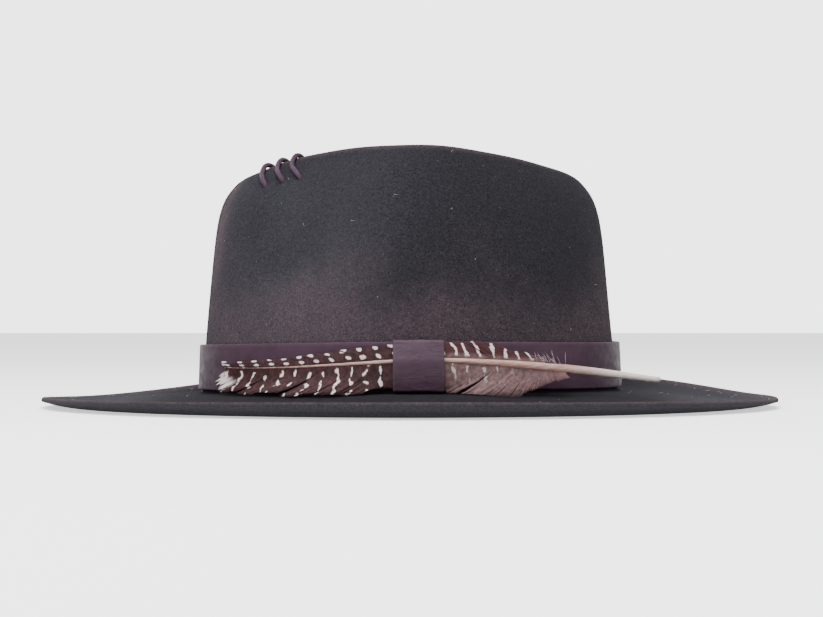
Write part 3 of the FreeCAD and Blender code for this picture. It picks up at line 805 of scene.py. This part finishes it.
def barb_lines(side, count, seed):
    """Centre lines of one vane's barbs, in clumps that part here and there."""
    pick = random.Random(seed)
    wide = leading_wide if side > 0 else trailing_wide
    steps = 15
    points, edges, notes = [], [], []
    left, shift, reach, lift = 0, 0.0, 1.0, 0.0
    first, last = -TIP_AHEAD + 0.6, VANE_REAR - 1
    for i in range(count):
        root = mix(first, last, (i + 0.5) / count)
        if left == 0:
            left = pick.randint(8, 22)
            loose_end = 0.13 if side > 0 and root > 22 else 0.05
            shift, reach = pick.uniform(-1.5, 1.5), pick.uniform(0.98 - loose_end, 1.0 + loose_end)
            lift = pick.uniform(0.0, 1.1)
        left -= 1
        in_loop = abs(root - KEEPER_AT - 7) < KEEPER_WIDE / 2 + 16
        parted = 0.2 if in_loop else 1.0
        slope = math.radians(mix(30 if side > 0 else 41, 58, float(ease((root - 48) / 24))))
        span = float(wide(root)) / math.tan(slope)
        high = float(wide(root - 0.6 * span)) * (1 if in_loop else reach) * pick.uniform(0.975, 1.015)
        limit = -TIP_AHEAD - 3.0 + pick.uniform(-1.2, 1.4) + 0.8 * math.sin(i * 0.9)
        barb = (side, root, span, high, shift * parted, lift * parted, parted)
        kept = [k for k in range(41) if barb_point(*barb, k / 40)[1] > limit]
        end = max(0.08, len(kept) / 41)
        for k in range(steps):
            t = end * k / (steps - 1)
            points.append(barb_point(*barb, t))
            torn = ease((t / end - 0.45) / 0.3) if end < 0.97 else 0.0
            y = root - span * t ** 1.3
            notes.append((t ** 0.88, y, high * t ** 0.88, side > 0, float(torn)))
            if k:
                edges.append((len(points) - 2, len(points) - 1))
    return points, edges, np.array(notes, float)


def start_tree(name, sizes):
    """A node tree with its named inputs; returns it and each input's identifier."""
    tree = bpy.data.node_groups.new(name, "GeometryNodeTree")
    face = tree.interface
    face.new_socket("Geometry", in_out="INPUT", socket_type="NodeSocketGeometry")
    names = {}
    for key, label, kind in (*sizes, ("fin", "Material", "Material")):
        names[key] = face.new_socket(label, in_out="INPUT", socket_type="NodeSocket" + kind).identifier
    face.new_socket("Geometry", in_out="OUTPUT", socket_type="NodeSocketGeometry")
    return tree, names


def end_tree(tree, given, made):
    """Turns copies into real mesh and gives them the material."""
    new, link = tree.nodes.new, tree.links.new
    real, paint = new("GeometryNodeRealizeInstances"), new("GeometryNodeSetMaterial")
    link(made, real.inputs[0])
    link(real.outputs[0], paint.inputs["Geometry"])
    link(given.outputs["Material"], paint.inputs["Material"])
    link(paint.outputs[0], new("NodeGroupOutput").inputs[0])


def barb_tree():
    """Gives every barb line a round, tapering body."""
    tree, names = start_tree("barbs_along_lines", (
        ("thick", "Barb Thickness", "Float"), ("sides", "Barb Sides", "Int"), ("seed", "Seed", "Int")))
    new, link = tree.nodes.new, tree.links.new
    given = new("NodeGroupInput")
    curve = new("GeometryNodeMeshToCurve")
    link(given.outputs["Geometry"], curve.inputs["Mesh"])
    place = new("GeometryNodeSplineParameter")
    taper = new("ShaderNodeMapRange")
    for socket, value in zip(taper.inputs[1:5], (0.75, 1.0, 1.0, 0.35)):
        socket.default_value = value
    link(place.outputs["Factor"], taper.inputs[0])
    vary = new("FunctionNodeRandomValue")
    vary.data_type = "FLOAT"
    floats = [s for s in vary.inputs if s.type == "VALUE"]
    floats[0].default_value, floats[1].default_value = 0.8, 1.15
    link(given.outputs["Seed"], next(s for s in vary.inputs if s.name == "Seed"))
    times = new("ShaderNodeMath")
    times.operation = "MULTIPLY"
    link(taper.outputs[0], times.inputs[0])
    link(next(s for s in vary.outputs if s.type == "VALUE"), times.inputs[1])
    ring = new("GeometryNodeCurvePrimitiveCircle")
    link(given.outputs["Barb Sides"], ring.inputs["Resolution"])
    link(given.outputs["Barb Thickness"], ring.inputs["Radius"])
    body = new("GeometryNodeCurveToMesh")
    link(curve.outputs["Curve"], body.inputs["Curve"])
    link(ring.outputs["Curve"], body.inputs["Profile Curve"])
    body.inputs["Fill Caps"].default_value = True
    link(times.outputs[0], body.inputs["Scale"])
    end_tree(tree, given, body.outputs["Mesh"])
    return tree, names


def grow(name, points, edges, notes, material, thick, sides, seed, tree, names):
    obj = new_mesh(name, points, [], edges)
    for i, label in enumerate(("share", "along", "down", "side", "frayed")):
        carry(obj, label, notes[:, i])
    maker = obj.modifiers.new("barbs", "NODES")
    maker.node_group = tree
    maker[names["thick"]] = thick * MM
    maker[names["sides"]] = sides
    maker[names["seed"]] = seed
    maker[names["fin"]] = material
    return bake(obj)


def build_vanes(sizes, look):
    tree, names = barb_tree()
    finish = spot_finish(look)
    for side, name, node in ((1, "upper_vane", "feather_leading_vane"),
                             (-1, "lower_vane", "feather_trailing_vane")):
        points, edges, notes = barb_lines(side, sizes.barbs, 11 + side)
        vane = grow(name, points, edges, notes, finish, sizes.barb_thickness, 4, 3, tree, names)
        settle(vane, finish, "feather", [node])
    pick = random.Random(5)
    points, edges, notes = [], [], []
    for _ in range(16):
        y = pick.uniform(60, 73)
        x, yy = feather_xy(y, 0.4)
        p = Vector((float(x), float(yy), float(shaft_z(y)) + 1.0))
        way = Vector((pick.uniform(-0.05, 0.25), pick.uniform(-0.8, -0.1), pick.uniform(0.6, 1.0)))
        way = way.normalized()
        long = pick.uniform(4, 9)
        for k in range(9):
            points.append(tuple(p))
            notes.append((1, 60, 9, 1, 0.7))
            if k:
                edges.append((len(points) - 2, len(points) - 1))
            way = (way + Vector([pick.uniform(-0.12, 0.12) for _ in range(3)])).normalized()
            p = p + way * long / 8
    down = grow("down_wisps", points, edges, np.array(notes, float), finish, 0.06, 3, 8, tree, names)
    settle(down, finish, "feather")


# ---- inside -------------------------------------------------------------------
def sweat_point(a, depth, up):
    low = break_z(a) + BREAK_ROUND
    z = break_z(a) + SWEAT_LIFT + up
    p = wall_point(a, (z - low) / (crest_point(a)[..., 2] - low))
    d = FELT + SWEAT_GAP + depth
    return stack(p[..., 0] - d * np.cos(a), p[..., 1] - d * np.sin(a), z)


def build_sweatband(look):
    columns, rows = 240, 15
    a = 2 * math.pi * np.arange(columns) / columns
    f = np.linspace(0, 1, rows)[:, None]
    wave = 0.25 * np.sin(9 * a) * f + 0.15 * np.sin(23 * a + 1) * f
    points = sweat_point(a, SWEAT_THICK / 2 + 0.12 + np.abs(wave), SWEAT_HIGH * f)
    band = new_mesh("leather_sweatband", points, ring_faces(rows, columns))
    carry(band, "edge", np.exp(-((1 - f) / 0.03) ** 2) * np.ones(columns))
    thicken(band, SWEAT_THICK - 0.1, 0.2)
    finish = leather_finish("sweatband_leather", look.sweatband, 0.5, 1.4, 0.2,
                            [c * 0.6 for c in look.sweatband])
    settle(band, finish, "hat", ["sweatband"])


def stitch_tree():
    """Sets one short stitch on every given point, turned by the point's own angle."""
    tree, names = start_tree("stitches_on_points", (
        ("long", "Stitch Length", "Float"), ("thick", "Thread Thickness", "Float")))
    new, link = tree.nodes.new, tree.links.new
    given = new("NodeGroupInput")
    bead = new("GeometryNodeMeshUVSphere")
    bead.inputs["Segments"].default_value = 8
    bead.inputs["Rings"].default_value = 6
    bead.inputs["Radius"].default_value = 0.5
    size = new("ShaderNodeCombineXYZ")
    link(given.outputs["Stitch Length"], size.inputs["X"])
    link(given.outputs["Thread Thickness"], size.inputs["Y"])
    link(given.outputs["Thread Thickness"], size.inputs["Z"])
    shape = new("GeometryNodeTransform")
    link(bead.outputs["Mesh"], shape.inputs["Geometry"])
    link(size.outputs[0], shape.inputs["Scale"])
    turn = new("GeometryNodeInputNamedAttribute")
    turn.data_type = "FLOAT"
    turn.inputs["Name"].default_value = "turn"
    angle = new("ShaderNodeCombineXYZ")
    link(next(s for s in turn.outputs if s.name == "Attribute" and s.enabled), angle.inputs["Z"])
    spin = new("FunctionNodeEulerToRotation")
    link(angle.outputs[0], spin.inputs[0])
    set_on = new("GeometryNodeInstanceOnPoints")
    link(given.outputs["Geometry"], set_on.inputs["Points"])
    link(shape.outputs["Geometry"], set_on.inputs["Instance"])
    link(spin.outputs[0], set_on.inputs["Rotation"])
    end_tree(tree, given, set_on.outputs[0])
    return tree, names


def build_stitching(look):
    count = SHOWN_STITCHES
    a = 2 * math.pi * (np.arange(count) + 0.5) / count
    points = sweat_point(a, SWEAT_THICK + 0.15, 2.4)
    ahead = sweat_point(a + 0.01, SWEAT_THICK + 0.15, 2.4) - points
    obj = new_mesh("sweatband_stitches", points, [])
    carry(obj, "turn", np.arctan2(ahead[:, 1], ahead[:, 0]))
    tree, names = stitch_tree()
    maker = obj.modifiers.new("stitches", "NODES")
    maker.node_group = tree
    finish = cloth_finish("plum_thread", look.thread, 0.6)
    maker[names["long"]] = 2.1 * MM
    maker[names["thick"]] = 0.5 * MM
    maker[names["fin"]] = finish
    bake(obj)
    settle(obj, finish, "hat", ["sweatband_stitching"])


def finish_cad_pieces(look):
    """The laces, the taped reed and the bow keep their solid shape and get their finish."""
    lace = leather_finish("lace_leather", look.lace, 0.5, 1.5)
    tape = cloth_finish("reed_tape", (0.005, 0.0045, 0.006), 0.8)
    ribbon = cloth_finish("bow_ribbon", (0.008, 0.005, 0.007), 0.45)
    for names, finish in ((["ridge_lace"], lace), (["sweatband_reed"], tape),
                          (["bow_loop_left", "bow_loop_right", "bow_knot"], ribbon)):
        for name in names:
            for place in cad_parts[name].material_slots:
                place.material = finish


# ---- stage --------------------------------------------------------------------
def build_stage(light, cam_sizes):
    reach = 5000
    corners = [(-reach, -reach, -0.4), (reach, -reach, -0.4), (reach, reach, -0.4), (-reach, reach, -0.4)]
    floor = new_mesh("studio_floor", corners, [(0, 1, 2, 3)])
    floor.data.materials.append(plain_stage("white_floor", (0.9, 0.9, 0.9), light.table))
    world = bpy.data.worlds.new("studio_air")
    bpy.context.scene.world = world
    world.use_nodes = True
    new, link = world.node_tree.nodes.new, world.node_tree.links.new
    sky = world.node_tree.nodes["Background"]
    sky.inputs["Color"].default_value = (1, 1, 1, 1)
    way, split, wall = new("ShaderNodeTexCoord"), new("ShaderNodeSeparateXYZ"), new("ShaderNodeMapRange")
    wall.interpolation_type = "SMOOTHSTEP"
    for socket, value in zip(wall.inputs[1:5], (-0.55, -0.93, light.sky, light.backdrop)):
        socket.default_value = value
    link(way.outputs["Generated"], split.inputs[0])
    link(split.outputs["X"], wall.inputs[0])
    link(wall.outputs[0], sky.inputs["Strength"])

    def lamp(name, place, aim, size, power):
        data = bpy.data.lights.new(name, "AREA")
        data.shape = "RECTANGLE"
        data.size, data.size_y = size
        data.energy = power
        obj = bpy.data.objects.new(name, data)
        obj.location = place
        obj.rotation_mode = "QUATERNION"
        obj.rotation_quaternion = (Vector(aim) - Vector(place)).to_track_quat("-Z", "Y")
        bpy.context.scene.collection.objects.link(obj)

    lamp("top_softbox", (0.55, -0.1, 1.2), (0, 0, 0.05), (1.2, 1.4), light.top)
    lamp("front_softbox", (1.3, -0.7, 0.7), (0, 0, 0.06), (0.8, 0.8), light.front)
    lamp("rear_softbox", (1.0, 1.0, 0.5), (0, 0, 0.06), (0.7, 0.7), light.rear)
    data = bpy.data.cameras.new("studio_camera")
    data.sensor_width = 36
    data.lens = cam_sizes.lens
    data.clip_end = 20
    camera = bpy.data.objects.new("studio_camera", data)
    camera.location = (cam_sizes.away, 0.00075, cam_sizes.high)
    camera.rotation_mode = "XYZ"
    camera.rotation_euler = (math.radians(90 + cam_sizes.tilt), 0, math.radians(90))
    bpy.context.scene.collection.objects.link(camera)
    bpy.context.scene.camera = camera


# ---- settings -----------------------------------------------------------------
def number(name, text, value, **more):
    return bpy.props.FloatProperty(name=name, description=text, default=value, **more)


def tint(name, text, value):
    return bpy.props.FloatVectorProperty(
        name=name, description=text, default=value, size=3, subtype="COLOR", min=0, max=1)


class HatSizes(bpy.types.PropertyGroup):
    unevenness: number(
        "Unevenness", "How far the hand-shaped felt strays, in millimetres", 0.30, min=0, max=1)
    barbs: bpy.props.IntProperty(
        name="Barbs", description="Barbs on each vane of the feather", default=330, min=20, max=600)
    barb_thickness: number("Barb Thickness", "Radius of one barb, in millimetres", 0.31, min=0.05, max=1)


class HatColours(bpy.types.PropertyGroup):
    charcoal: tint("Charcoal", "Ground colour of the felt", (0.0125, 0.0120, 0.0150))
    brushed: tint("Brushed", "Brown plum of the worn nap", (0.074, 0.049, 0.057))
    brushing: number("Brushing", "How strongly the worn nap shows", 0.8, min=0, max=1, subtype="FACTOR")
    leather: tint("Leather", "Plum leather of the band and loop", (0.038, 0.021, 0.033))
    gloss: number(
        "Leather Roughness", "Roughness of the band's leather", 0.5, min=0.1, max=1, subtype="FACTOR")
    lace: tint("Lace", "Leather of the lace", (0.044, 0.026, 0.042))
    sweatband: tint("Sweatband", "Leather of the sweatband", (0.014, 0.009, 0.008))
    thread: tint("Thread", "Thread of the sweatband and stray fibres", (0.30, 0.26, 0.26))
    ground: tint("Barb Ground", "Brown of the feather ahead of the loop", (0.030, 0.0100, 0.0110))
    ground_behind: tint("Barb Ground Behind", "Paler brown behind the loop", (0.112, 0.064, 0.065))
    spots: tint("Spots", "White of the feather's spots", (0.64, 0.55, 0.55))
    shaft: tint("Shaft", "Pinkish horn of the shaft", (0.27, 0.135, 0.108))
    quill_end: tint("Quill End", "Pale end of the quill", (0.56, 0.49, 0.46))


class HatLight(bpy.types.PropertyGroup):
    sky: number("Sky", "Strength of the even white light", 0.7, min=0, max=5)
    backdrop: number("Backdrop", "Strength of the white wall behind the hat", 3.6, min=0, max=10)
    table: number("Table", "Glow of the white table", 0.9, min=0, max=10)
    top: number("Top Softbox", "Light from above", 40, min=0, max=200, unit="POWER")
    front: number("Front Softbox", "Light from the front left", 11, min=0, max=200, unit="POWER")
    rear: number("Rear Softbox", "Light from the rear left", 2, min=0, max=200, unit="POWER")


class HatCamera(bpy.types.PropertyGroup):
    away: number("Distance", "Camera from the middle of the hat", 1.175, min=0.3, max=5, unit="LENGTH")
    high: number("Height", "Camera above the floor", 0.0448, min=0, max=2, unit="LENGTH")
    tilt: number("Tilt", "Camera tilt upwards, in degrees", 0.18, min=-20, max=20)
    lens: number("Lens", "Focal length in millimetres", 102.8, min=20, max=300)


GROUPS = {"hat_sizes": HatSizes, "hat_colours": HatColours, "hat_light": HatLight, "hat_camera": HatCamera}


class HAT_OT_felt(bpy.types.Operator):
    """Shape the felt crown and brim"""
    bl_idname = "hat.felt"
    bl_label = "Crown and Brim"

    def execute(self, context):
        build_felt(context.scene.hat_sizes, context.scene.hat_colours)
        return {"FINISHED"}


class HAT_OT_band(bpy.types.Operator):
    """Wrap the leather band round the crown and put the loop on it"""
    bl_idname = "hat.band"
    bl_label = "Leather Band and Loop"

    def execute(self, context):
        build_strap(context.scene.hat_colours)
        build_keeper(context.scene.hat_colours)
        return {"FINISHED"}


class HAT_OT_feather(bpy.types.Operator):
    """Grow the feather's shaft, barbs and down"""
    bl_idname = "hat.feather"
    bl_label = "Feather"

    def execute(self, context):
        build_shaft(context.scene.hat_colours)
        build_vanes(context.scene.hat_sizes, context.scene.hat_colours)
        return {"FINISHED"}


class HAT_OT_inside(bpy.types.Operator):
    """Line the inside with the sweatband and its stitches"""
    bl_idname = "hat.inside"
    bl_label = "Sweatband"

    def execute(self, context):
        build_sweatband(context.scene.hat_colours)
        build_stitching(context.scene.hat_colours)
        return {"FINISHED"}


class HAT_OT_lace(bpy.types.Operator):
    """Finish the whip lace, the reed and the bow"""
    bl_idname = "hat.lace"
    bl_label = "Lace and Trim Finishes"

    def execute(self, context):
        finish_cad_pieces(context.scene.hat_colours)
        return {"FINISHED"}


class HAT_OT_stage(bpy.types.Operator):
    """Set the pale floor, the soft lights and the camera"""
    bl_idname = "hat.stage"
    bl_label = "Studio"

    def execute(self, context):
        build_stage(context.scene.hat_light, context.scene.hat_camera)
        return {"FINISHED"}


OPERATORS = (HAT_OT_stage, HAT_OT_felt, HAT_OT_band, HAT_OT_feather, HAT_OT_inside, HAT_OT_lace)


class HAT_PT_panel(bpy.types.Panel):
    bl_label = "Fedora Hat"
    bl_idname = "HAT_PT_panel"
    bl_space_type = "VIEW_3D"
    bl_region_type = "UI"
    bl_category = "Hat"

    def draw(self, context):
        for operator in OPERATORS:
            self.layout.operator(operator.bl_idname)
        for name, group in GROUPS.items():
            box = self.layout.box()
            for prop in group.__annotations__:
                box.prop(getattr(context.scene, name), prop)


def register():
    for name, group in GROUPS.items():
        bpy.utils.register_class(group)
        setattr(bpy.types.Scene, name, bpy.props.PointerProperty(type=group))
    for cls in (*OPERATORS, HAT_PT_panel):
        bpy.utils.register_class(cls)


def unregister():
    for cls in (HAT_PT_panel, *OPERATORS[::-1]):
        bpy.utils.unregister_class(cls)
    for name, group in GROUPS.items():
        delattr(bpy.types.Scene, name)
        bpy.utils.unregister_class(group)


def main():
    register()
    for step in (bpy.ops.hat.stage, bpy.ops.hat.felt, bpy.ops.hat.band, bpy.ops.hat.feather,
                 bpy.ops.hat.inside, bpy.ops.hat.lace):
        step()


if __name__ == "__main__":
    main()
